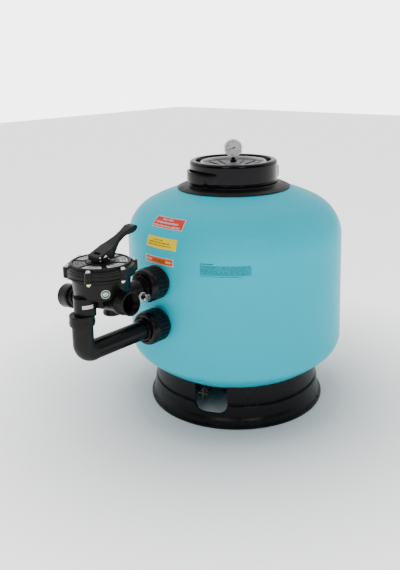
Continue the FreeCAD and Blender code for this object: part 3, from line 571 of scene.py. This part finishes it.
def subtract(item, tool):
    """Cut one closed mesh from another, then drop the tool."""
    modifier = item.modifiers.new("cut", "BOOLEAN")
    modifier.operation = "DIFFERENCE"
    modifier.solver = "EXACT"
    modifier.object = tool
    bpy.context.view_layer.update()
    result = bpy.data.meshes.new_from_object(item.evaluated_get(bpy.context.evaluated_depsgraph_get()))
    item.modifiers.clear()
    item.data = result
    bpy.data.objects.remove(tool)


def make_base():
    top = high("base_ring").z
    foot = 249.0
    line = rounded([
        (228, 0), (foot - 1, 0, 0.8), (foot, 2, 0.8), (foot, 7, 2), (243.5, 7, 1.6), (242, 21, 3),
        (237, 27, 6),
        (235.6, 55.5, 1.2), (233.5, 58, 0.8), (229, 58.6, 1.2), (229, 63.6, 1.2), (231.6, 64, 1.0),
        (232.8, 66, 1.2),
        (230.5, top), (225.5, top - 3.9), (223.5, 64, 4), (228, 56, 4), (232, 27, 4), (232, 5), (228, 5)])
    ring = link("base_ring_wall", lathe(line, 256))
    half, bottom = 44.5, 37
    window = rounded([(-half, bottom, 24), (half, bottom, 24), (half, top + 30), (-half, top + 30)], 12)
    upright = Matrix(((0, 0, 1, 0), (1, 0, 0, 0), (0, 1, 0, 0), (0, 0, 0, 1)))
    turn = spin(WINDOW_HEADING) @ shift(207, 0, 0) @ upright
    subtract(ring, link("window_tool", prism([tuple(point) for point in window], 60, turn)))
    soften(ring, 30)
    ring.data.materials.clear()
    ring.data.materials.append(MATERIALS["base_plastic"])
    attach(ring, "tank")
    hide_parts("base_ring")
    gussets = bmesh.new()
    for i in range(20):
        turn = spin(220 + 18 * i) @ Matrix.Rotation(math.radians(90), 4, "X") @ shift(0, 0, -2)
        prism([(238, 6), (246.4, 6), (241.2, 17), (238, 17)], 4, turn, 0.5, gussets)
    piece("base_gussets", gussets, "tank", "base_plastic")


# --- neck, lock ring and lid --------------------------------------------------------------------

def make_neck():
    top, skirt = high("neck_flange").z, 606.6
    line = rounded([
        (95, low("neck_flange").z), (137.5, low("neck_flange").z), (137.5, skirt + 6.2),
        (158, skirt + 0.3, 0.3),
        (158, skirt + 3, 1.2), (146, skirt + 8.6, 3), (127, 619.5, 4), (124.5, 622, 1.2), (111.6, 622),
        (111.6, top, 1), (95, top, 1)])
    piece("neck_collar", lathe(line, 192), "tank", "neck_plastic", covers=["neck_flange"], limit=28)
    turns = bmesh.new()
    for height in (629, 635.5, 642):
        lathe(rounded([(111.2, height), (111.95, height + 0.7, 0.2), (111.95, height + 2.2, 0.2),
                       (111.2, height + 3)]), 128, bm=turns)
    piece("neck_thread", turns, "tank", "neck_plastic")


def crescent(heading, away, reach, bar, ring, low_z, high_z, bm):
    """Grip bar seen from above: off-centre arcs that run into the ring's surface."""
    def meet(radius):
        return math.acos((ring ** 2 - away ** 2 - radius ** 2) / (2 * away * radius))
    outer, inner = meet(reach), meet(reach - bar)
    line = []
    for k in range(33):
        angle = -outer + 2 * outer * k / 32
        line.append((away + reach * math.cos(angle), reach * math.sin(angle)))
    for k in range(33):
        angle = inner - 2 * inner * k / 32
        line.append((away + (reach - bar) * math.cos(angle), (reach - bar) * math.sin(angle)))
    prism(line, high_z - low_z, spin(heading) @ shift(0, 0, low_z), 1.3, bm)


def make_lock_ring():
    bottom, top = low("lock_ring").z, high("lock_ring").z
    line = rounded([
        (112, bottom), (121.4, bottom, 1), (122.3, bottom + 4.5, 0.6), (120.9, bottom + 6.5, 0.8),
        (122.5, bottom + 8.5, 1.5), (122.3, top - 9, 2), (121.2, top, 7.5), (105.5, top, 2.5), (103, 672, 1),
        (112, 672)], 8)
    ring = lathe(line, 192)
    piece("lock_ring_body", ring, "lock_ring", "gloss_black", covers=["lock_ring"], limit=40)
    lugs = bmesh.new()
    for heading in LUG_HEADINGS:
        crescent(heading, 57.6, 81.3, 7.4, 121.2, 631.2, 659.8, lugs)
    piece("lock_ring_lugs", lugs, "lock_ring", "gloss_black", limit=40)
    teeth = bmesh.new()
    for heading in LUG_HEADINGS:
        for offset in (17.5, 20.5, 24, 27.5, -20.5, -24):
            angle = math.radians(offset)
            reach = 57.6 * math.cos(angle) + math.sqrt(81.3 ** 2 - (57.6 * math.sin(angle)) ** 2)
            block = [(reach - 1.4, -0.9), (reach + 0.25, -0.9), (reach + 0.25, 0.9), (reach - 1.4, 0.9)]
            prism(block, 22, spin(heading + offset) @ shift(0, 0, 634.5), 0.25, teeth)
    piece("lock_ring_teeth", teeth, "lock_ring", "gloss_black", limit=40)
    marks = bmesh.new()
    for k in range(3):
        arrow = [(114, -4.5), (117, -4.5), (117, -7), (120, 0), (117, 7), (117, 4.5), (114, 4.5)]
        small = [(x - 3.5, y * 0.7) for x, y in arrow]
        prism(small, 0.5, spin(40 + 120 * k) @ shift(0, 0, top - 0.15), 0.1, marks)
    piece("lock_ring_marks", marks, "lock_ring", "gloss_black", limit=40)


def make_lid():
    dish = rounded([
        (0.01, 656.5), (20, 657.5, 4), (80, 670, 8), (88.5, 664.2, 2.5), (110.2, 664.2), (110.2, 671.4, 0.8),
        (102, 671.4, 1), (96, 675.2, 2), (90.5, 675.2, 1), (86.5, 674, 3), (80.5, 673.5, 5), (24, 662, 6),
        (0.01, 661)])
    piece("lid_dish", lathe(dish, 160), "lid", "clear_lid", covers=["lid_window"], limit=30)
    # The raised ring is painted pale and less clear than the dish, a painted highlight along the lid's rim.
    crest = rounded([(85.8, 674.2), (92.6, 674.6), (91.8, 679.2, 2), (89.6, 680.4, 1.4),
                     (86.6, 679.6, 1.6)], 6)
    piece("lid_crest", lathe(crest, 160), "lid", "clear_lid", paint="crest_painted_highlight", limit=50)
    ribs = bmesh.new()
    climb = Matrix.Rotation(math.radians(-11.5), 4, "Y")
    for k in range(12):
        prism([(26, -0.9), (78, -0.9), (78, 0.9), (26, 0.9)], 2.2,
              spin(15 + 30 * k) @ shift(0, 0, 656.8) @ climb, 0.3, ribs)
    piece("lid_ribs", ribs, "lid", "clear_lid", limit=40)


def make_boss():
    base = rounded([(0.01, 658.2), (14, 658.2), (14, 664.3), (20.4, 664.4, 1), (20.4, 667.4, 1.2),
                    (18.6, 668, 0.6), (0.01, 668)])
    piece("boss_collar", lathe(base, 96), "lid", "grey_boss", covers=["lid_boss"], paint="black_plastic")
    dome = rounded([(0.01, 667.5), (18.2, 667.5, 0.4), (18.2, 669.2, 1.5), (15.5, 673.4, 3), (10.2, 675.6, 2),
                    (0.01, 675.9)])
    piece("boss_dome", lathe(dome, 96), "lid", "grey_boss", limit=50)
    stem = bmesh.new()
    prism(polygon(9.6, 6), 6.4, shift(0, 0, 676.2), 0.7, stem)
    lathe(rounded([(0.01, 682.4), (6.4, 682.4), (6.4, 684.5, 0.6), (5.4, 685.4), (5.4, 688),
                   (6.4, 688.8, 0.4), (6.4, high("gauge_stem").z), (0.01, high("gauge_stem").z)]),
          48, bm=stem)
    piece("gauge_stem_turned", stem, "lid", "black_plastic", covers=["gauge_stem"])


def make_gauge():
    centre = mid("gauge_bezel").z
    turn = spin(GAUGE_HEADING) @ shift(4, 0, centre) @ Matrix.Rotation(math.radians(90), 4, "Y")
    case = rounded([(0.01, -13), (22, -13, 4), (24.6, -9, 3), (24.6, 2.8), (0.01, 2.8)])
    piece("gauge_cup", lathe(case, 96), "lid", "steel", turn, ["gauge_case"])
    bezel = rounded([(24.7, 3), (25.9, 3, 0.4), (25.9, 9.5, 1.5), (24.6, 11, 0.8), (22.6, 11, 0.6),
                     (21.7, 9.8, 0.3), (22.5, 9.75), (22.5, 4.1), (24.7, 4.1)])
    piece("gauge_rim", lathe(bezel, 128), "lid", "chrome", turn, ["gauge_bezel"], limit=50)
    dial = rounded([(0.01, 4.2), (22.3, 4.2), (22.3, 5.0, 0.3), (0.01, 5.0)])
    piece("gauge_face", lathe(dial, 96), "lid", "dial_white", turn, ["gauge_dial"])
    ticks = bmesh.new()
    for k in range(33):
        lean = math.radians(-40 + 260 * k / 32)
        long = 3.2 if k % 8 == 0 else (2.3 if k % 4 == 0 else 1.4)
        half = 0.28 if k % 8 == 0 else 0.16
        spoke = Matrix.Rotation(lean, 4, "Z")
        prism([(19.6 - long, -half), (19.6, -half), (19.6, half), (19.6 - long, half)], 0.12,
              spoke @ shift(0, 0, 5.05), bm=ticks)
    arc = [Vector((20.3 * math.cos(math.radians(-40 + 260 * k / 64)),
                   20.3 * math.sin(math.radians(-40 + 260 * k / 64)))) for k in range(65)]
    for first, second in zip(arc, arc[1:]):
        inner_first, inner_second = first * 0.985, second * 0.985
        stroke = [tuple(first), tuple(inner_first), tuple(inner_second), tuple(second)]
        prism(stroke, 0.12, shift(0, 0, 5.05), bm=ticks)
    facing = Matrix.Rotation(math.radians(90), 4, "Z")
    piece("gauge_scale", ticks, "lid", "dial_white", turn @ facing, paint="needle_black")
    figures = bmesh.new()
    for k in range(5):
        lean = math.radians(220 - 65 * k)
        text = bpy.data.curves.new("figure", "FONT")
        text.body = str(k)
        text.size = 5.2
        text.align_x = "CENTER"
        text.align_y = "CENTER"
        text.extrude = 0.05
        shown = bpy.data.objects.new("figure", text)
        mesh = bpy.data.meshes.new_from_object(shown)
        mesh.transform(turn @ facing @ shift(13.6 * math.cos(lean), 13.6 * math.sin(lean), 5.12))
        figures.from_mesh(mesh)
        bpy.data.objects.remove(shown)
        bpy.data.meshes.remove(mesh)
    piece("gauge_figures", figures, "lid", "dial_white", paint="needle_black")


# --- unions, pipes and port details ---------------------------------------------------------------

def make_union(side):
    box_low, box_high = low("union_nut_" + side), high("union_nut_" + side)
    level = mid("union_nut_" + side).z
    start, end = -box_high.x, -box_low.x
    reach = 43.4

    def ribbed(radius, height, angle):
        if radius < 36 or height > end - 17 or height < start + 1.5:
            return radius
        fade = min(1.0, (height - start - 1.5) / 4, (end - 17 - height) / 4)
        wave = abs(math.sin(angle * 12)) ** 0.55
        return radius - 2.1 * fade * (1 - wave)

    stations = [(32.1, start), (35.5, start)]
    for k in range(1, 13):
        part = k / 12
        stations.append((35.5 + (reach - 35.5) * math.sin(part * math.pi / 2),
                         start + 11 * (1 - math.cos(part * 1.5))))
    for k in range(1, 14):
        stations.append((reach, start + 10.2 + (end - 17 - start - 10.2) * k / 13))
    stations += [(reach - 0.9, end - 16.2), (reach - 0.9, end - 15.4), (reach, end - 14.6)]
    for k in range(1, 9):
        part = k / 8
        stations.append((reach - 5.4 * (1 - math.cos(part * math.pi / 2)),
                         end - 14.6 + 14.1 * math.sin(part * math.pi / 2)))
    stations += [(35.5, end), (33.4, end), (32.4, end - 1), (32.4, end - 6), (28.9, end - 6),
                 (28.9, end - 11.5), (32.1, end - 11.5)]
    piece("union_nut_%s_barrel" % side, lathe(stations, 288, ribbed), "union_nut_" + side, "nut_plastic",
          shift(0, 0, level) @ TO_MINUS_X, ["union_nut_" + side], limit=38)
    tail = rounded([(24.3, 337), (31.5, 337), (31.5, 347.5), (28.4, 347.5), (28.4, 361.5, 0.5),
                    (27.4, 362, 0.3), (27.4, 363, 0.3), (28.4, 363.5, 0.6), (28.3, 366, 1.4),
                    (24.9, 366, 0.6), (24.3, 365)])
    piece("union_tail_%s_ring" % side, lathe(tail, 128), "tank", "pipe_plastic",
          shift(0, 0, level) @ TO_MINUS_X, ["union_tail_" + side], paint="nut_plastic", limit=40)
    washer = rounded([(27.2, 296), (35.5, 296, 0.6), (35.5, 302, 1.2), (27.2, 302)])
    piece("port_washer_" + side, lathe(washer, 96), "tank", "rubber", shift(0, 0, level) @ TO_MINUS_X,
          ["port_gasket_" + side])


def make_pipe():
    level = mid("union_nut_lower").z
    away, bend, top = SOCKET_X, 26, high("lower_pipe").z
    path = [Vector((x, 0, level)) for x in (-339, -420, away + bend)]
    for k in range(1, 17):
        angle = math.radians(90 * k / 16)
        path.append(Vector((away + bend - bend * math.sin(angle), 0, level + bend - bend * math.cos(angle))))
    path.append(Vector((away, 0, top)))
    piece("lower_pipe_run", sweep(path, 24.1, 72, 21.15), "tank", "pipe_plastic",
          covers=["lower_pipe"], limit=50)
    elbow = [point.copy() for point in path[2:]]
    elbow[0] = Vector((away + bend + 1.5, 0, level))
    elbow.insert(1, Vector((away + bend, 0, level)))
    elbow[-1] = Vector((away, 0, 363.8))
    piece("lower_elbow", sweep(elbow, 24.75, 72, 24.12), "tank", "pipe_plastic", paint="elbow_plastic",
          limit=50)
    collar = rounded([(24.35, 363.9), (28.6, 363.9, 0.6), (29.7, 366.5, 1.2), (29.7, 387.2, 1.4),
                      (27.6, 389.2, 0.8), (24.35, 389.2)])
    piece("socket_collar", lathe(collar, 96), "tank", "valve_plastic", shift(SOCKET_X, 0, 0))
    clips = bmesh.new()
    for angle in (150, 215, 250, 330):
        prism([(29.0, -5), (30.2, -5), (30.2, 5), (29.0, 5)], 7,
              shift(SOCKET_X, 0, 368) @ spin(angle), 0.4, clips)
    piece("collar_clips", clips, "tank", "valve_plastic")


def make_mouths():
    lean = Matrix.Rotation(math.radians(-ARM_LEAN), 4, "X")
    for side, turn, reach, more in (("front", TO_MINUS_Y, 104, 0), ("back", TO_PLUS_Y, 140, 2.5)):
        place = shift(VALVE_X, 0, ARM_LEVEL) @ lean @ turn
        band = bmesh.new()
        lathe(rounded([(21.1, reach - 45.5), (23.6, reach - 45.5, 0.8), (24.2, reach - 38, 1),
                       (26.9 + more, reach - 35, 0.8),
                       (27.6 + more, reach - 30, 1), (27.6 + more, reach - 22.5, 1),
                       (26.2 + more, reach - 21, 0.5), (21.1, reach - 21)]),
              96, bm=band)
        piece("mouth_band_" + side, band, "tank", "valve_plastic", place)
        lip = rounded([(24.5, reach - 2.4), (27.1 + more, reach - 2.4), (27.6 + more, reach - 1.6, 0.5),
                       (27.5 + more, reach - 0.1, 0.9), (25.2, reach - 0.1, 0.7), (24.5, reach - 1.2)])
        piece("mouth_lip_" + side, lathe(lip, 96), "tank", "valve_plastic", place, limit=50)
        thread = bmesh.new()
        for k in range(8):
            start = reach - 5 - 3 * k
            lathe([(24.5, start), (23.7, start - 0.9), (24.5, start - 1.8)], 96, bm=thread)
        piece("mouth_thread_" + side, thread, "tank", "valve_plastic", place, limit=20)
    stub = bmesh.new()
    lathe(rounded([(19.0, 365.1), (22.2, 365.1, 0.8), (23.2, 367, 0.6), (23.2, 371.5, 0.6), (22.3, 373),
                   (19.0, 373)]), 96, bm=stub)
    piece("stub_lip", stub, "tank", "valve_plastic", shift(STUB_X, 0, 0))


# --- valve -------------------------------------------------------------------------------------------

def sector(first, last, inner, outer, low_z, thick, bm, steps=12, bevel=0.25):
    line = []
    for radius, order in ((outer, range(steps + 1)), (inner, range(steps, -1, -1))):
        for k in order:
            angle = math.radians(first + (last - first) * k / steps)
            line.append((radius * math.cos(angle), radius * math.sin(angle)))
    prism(line, thick, shift(VALVE_X, 0, low_z), bevel, bm)


def make_valve():
    ring_low = low("position_ring").z
    white, grey, prints = bmesh.new(), bmesh.new(), bmesh.new()
    for k in range(6):
        first = 7 + 60 * k
        sector(first, first + 46, 45, 63.5, ring_low + 0.02, 1.0, grey if k == 2 else white)
        sector(first + 2, first + 44, 36, 43.5, ring_low + 0.02, 1.0, grey)
        for row in range(2):
            dice = random.Random(k * 7 + row)
            here = first + 9
            while here < first + 36:
                wide = dice.uniform(1.2, 2.6)
                inner = 51 + row * 5.5
                outer = 53.4 + row * 5.5
                sector(here, here + wide, inner, outer, ring_low + 1.05, 0.12, prints, 2, 0)
                here += wide + 1.1
    piece("position_plates", white, "tank", "ring_label", covers=["position_ring"])
    piece("position_plates_grey", grey, "tank", "ring_label", paint="ring_grey")
    piece("position_prints", prints, "tank", "ring_label", paint="needle_black")
    ridges = bmesh.new()
    for k in range(6):
        angle = 60 * k
        prism([(34.5, -1.6), (64.2, -2.2), (64.2, 2.2), (34.5, 1.6)], 2.0,
              shift(VALVE_X, 0, ring_low + 0.05) @ spin(angle), 0.5, ridges)
        for offset in (-4.4, 4.4):
            prism([(36, -0.7), (63.8, -0.9), (63.8, 0.9), (36, 0.7)], 1.4,
                  shift(VALVE_X, 0, ring_low + 0.05) @ spin(angle + offset), 0.3, ridges)
    piece("cover_ridges", ridges, "tank", "valve_plastic")
    seam = bmesh.new()
    for bead in (
            [(70, 484.5), (81.4, 484.5, 0.6), (82.0, 486, 0.6), (81.4, 487.5, 0.6), (70, 487.5)],
            [(66.4, 463.4), (69.8, 463.8, 0.5), (70.1, 466, 0.6), (66.4, 466.4)],
            [(62, 426.6), (66.7, 426.8, 0.5), (67.2, 429.2, 0.6), (62, 429.6)]):
        lathe(rounded(bead), 144, bm=seam)
    piece("valve_beads", seam, "tank", "valve_plastic", shift(VALVE_X, 0, 0))
    bolts, nuts, washers = bmesh.new(), bmesh.new(), bmesh.new()
    top = high("cover_bolts").z - 4.5
    for k in range(6):
        angle = math.radians(30 + 60 * k)
        spot = shift(VALVE_X + 78 * math.cos(angle), 78 * math.sin(angle), 0)
        turn = spot @ spin(17 * k)
        prism(polygon(5.5, 6), 3.4, turn @ shift(0, 0, top + 0.9), 0.6, bolts)
        cap = rounded([(0.01, top + 4.0), (4.4, top + 4.0), (3.2, top + 4.9, 1), (0.01, top + 5.2)])
        join(bolts, lathe(cap, 32), spot)
        prism(polygon(2.9, 18),
              top - 466.5, spot @ shift(0, 0, 465.2), 0.3, bolts)
        prism(polygon(7.0, 24),
              0.8, spot @ shift(0, 0, top + 0.05), 0.2, washers)
        prism(polygon(5.5, 6), 4.2, turn @ shift(0, 0, 467.9), 0.6, nuts)
    piece("bolt_heads", bolts, "tank", "steel", covers=["cover_bolts"])
    piece("bolt_washers", washers, "tank", "steel")
    piece("bolt_nuts", nuts, "tank", "brass", covers=["cover_nuts"])


def make_handle_details():
    screws = bmesh.new()
    for x, z, size in ((-503, 516, 2.4), (-490, 516, 2.4), (-503, 508.5, 1.8), (-478, 509, 1.9)):
        for side in (-1, 1):
            turn = shift(x, side * 20.6, z) @ (TO_MINUS_Y if side < 0 else TO_PLUS_Y)
            button = bmesh.new()
            button_line = [(0.01, 0), (size, 0), (size, 0.7, 0.3), (size * 0.6, 1.5, 0.6), (0.01, 1.7)]
            lathe(rounded(button_line), 24, bm=button)
            join(screws, button, turn)
    piece("handle_screws", screws, "handle", "steel", paint="chrome")


def make_sticker():
    """Round printed badge on the bowl: a pale ring, a green field and a tick."""
    slant = math.atan2(4, 47.5)
    reach = 70 - 4 + 4 * 17 / 47.5
    face = shift(VALVE_X, 0, 442) @ spin(238) @ shift(reach, 0, 0)

    def on_bowl(u, v, lift):
        angle = u / reach
        out = reach + v * math.tan(slant) + lift
        return Vector((out * math.cos(angle) - reach, out * math.sin(angle), v))

    def disc(radius_out, radius_in, lift, bm, squeeze=1.0):
        steps = 48
        rings = []
        for part in (0.0, 0.34, 0.67, 1.0):
            radius = radius_in + (radius_out - radius_in) * part
            rings.append([bm.verts.new(on_bowl(radius * math.cos(2 * math.pi * k / steps),
                                               squeeze * radius * math.sin(2 * math.pi * k / steps), lift))
                          for k in range(steps)])
        for first, second in zip(rings, rings[1:]):
            for k in range(steps):
                n = (k + 1) % steps
                bm.faces.new((first[k], first[n], second[n], second[k]))

    pale, green, tick = bmesh.new(), bmesh.new(), bmesh.new()
    disc(10.4, 0.05, 0.30, pale)
    disc(9.2, 0.05, 0.36, green)
    disc(6.6, 0.05, 0.42, tick, 0.72)
    mark = bmesh.new()
    for first, second in (((-2.6, 0.2), (-0.8, -1.9)), ((-0.8, -1.9), (3.0, 2.2))):
        along = (Vector(second) - Vector(first)).normalized()
        side = Vector((-along.y, along.x)) * 0.55
        ends = [Vector(first) + side, Vector(first) - side, Vector(second) - side, Vector(second) + side]
        mark.faces.new([mark.verts.new(on_bowl(point.x, point.y, 0.48)) for point in ends])
    piece("badge_edge", pale, "tank", "sticker_green", face, ["round_sticker"], paint="label_white")
    piece("badge_field", green, "tank", "sticker_green", face)
    piece("badge_middle", tick, "tank", "sticker_green", face, paint="label_white")
    piece("badge_tick", mark, "tank", "sticker_green", face)


def make_sight_glass():
    turn = shift(mid("sight_glass").x, 0, mid("sight_glass").z) @ TO_MINUS_Y
    ring = rounded([(8.0, 21.2), (11.4, 21.2, 0.6), (11.4, 26.5, 0.8), (10.2, 27.5), (8.0, 27.5)])
    piece("sight_ring", lathe(ring, 64), "tank", "clear_cup", turn, paint="label_white")
    cup = rounded([(0.01, 40.0), (7.4, 40.0, 1), (9.4, 27.6), (10.3, 27.6), (10.3, 41.6, 1.4), (0.01, 42)])
    piece("sight_cup", lathe(cup, 64), "tank", "clear_cup", turn, ["sight_glass"], limit=50)
    core = rounded([(0.01, 22), (6.4, 22), (6.4, 37.5, 1), (4.6, 38.4, 0.5), (0.01, 38.4)])
    piece("sight_core", lathe(core, 48), "tank", "clear_cup", turn, paint="rubber")


def make_drain():
    level = mid("drain_cap").z
    turn = shift(0, 0, level) @ outward(DRAIN_HEADING)
    knob = rounded([(0.01, 219.8), (10.4, 216.4), (10.4, 212.1), (12.4, 212.1, 0.6), (12.4, 219.2, 1.2),
                    (9, 220.2, 0.6), (0.01, 220.2)])

    def knurl(radius, height, angle):
        if radius <= 11.5 or not 213.2 < height < 218.6:
            return radius
        return radius - 0.5 * (1 - abs(math.sin(angle * 14)))

    cap = lathe(knob, 168, knurl)
    piece("drain_knob", cap, "drain_cap", "drain_plastic", turn, ["drain_cap"], limit=40)
    cross = bmesh.new()
    for wide, high_side in ((29.6, 5.4), (5.4, 29.6)):
        line = [(-high_side / 2, -wide / 2), (high_side / 2, -wide / 2), (high_side / 2, wide / 2),
                (-high_side / 2, wide / 2)]
        prism(line, 6.6, turn @ shift(0, 0, 220.1), 1.1, cross)
    hub = lathe(rounded([(0.01, 220), (6.2, 220), (6.2, 227.2, 1.2), (0.01, 227.4)]), 48)
    join(cross, hub, turn)
    piece("drain_cross", cross, "drain_cap", "drain_plastic", limit=40)


make_camera()
make_light()
make_floor()
paint_nodes()
make_tank()
make_labels()
make_base()
make_neck()
make_lock_ring()
make_lid()
make_boss()
make_gauge()
make_union("lower")
make_union("upper")
make_pipe()
make_mouths()
make_valve()
make_handle_details()
make_sticker()
make_sight_glass()
make_drain()
